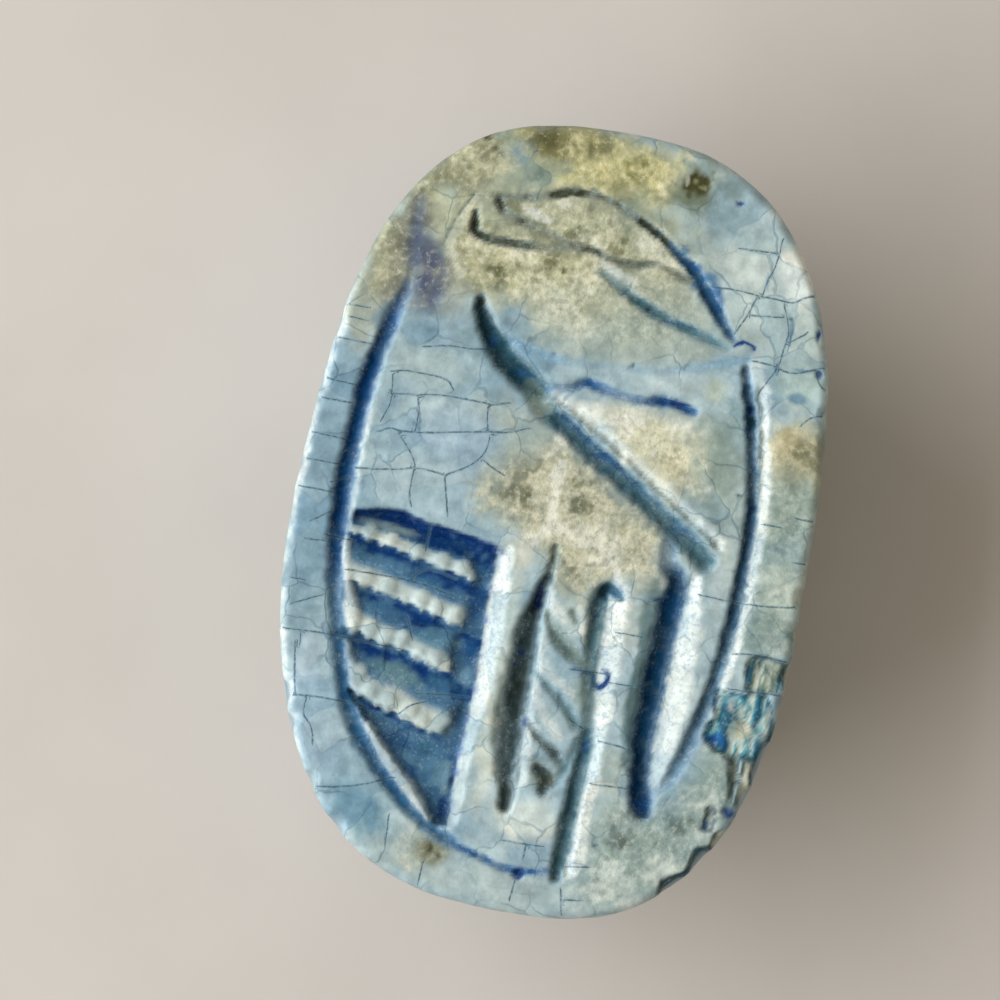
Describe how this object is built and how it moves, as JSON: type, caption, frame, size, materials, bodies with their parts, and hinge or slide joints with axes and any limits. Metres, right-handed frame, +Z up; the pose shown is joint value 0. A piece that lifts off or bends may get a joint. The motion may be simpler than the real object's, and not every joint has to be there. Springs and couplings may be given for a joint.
{
  "type": "scarab amulet",
  "caption": "Glazed steatite scarab amulet: oval engraved base over a domed beetle back, pierced lengthwise, lying on its back.",
  "frame": {"origin": "the bottom centre of the whole amulet as it lies, on the plane its back rests on", "axes": "+Y to the head end of the beetle, along the longest side; +X across; +Z up, out of the engraved base"},
  "size_m": [0.0132, 0.02, 0.0087],
  "materials": {
    "glazed_steatite": "worn pale blue glaze with fine crackle, deeper blue in the cuts"
  },
  "bodies": {
    "root": {"scarab": "glazed_steatite"}
  },
  "joints": []
}
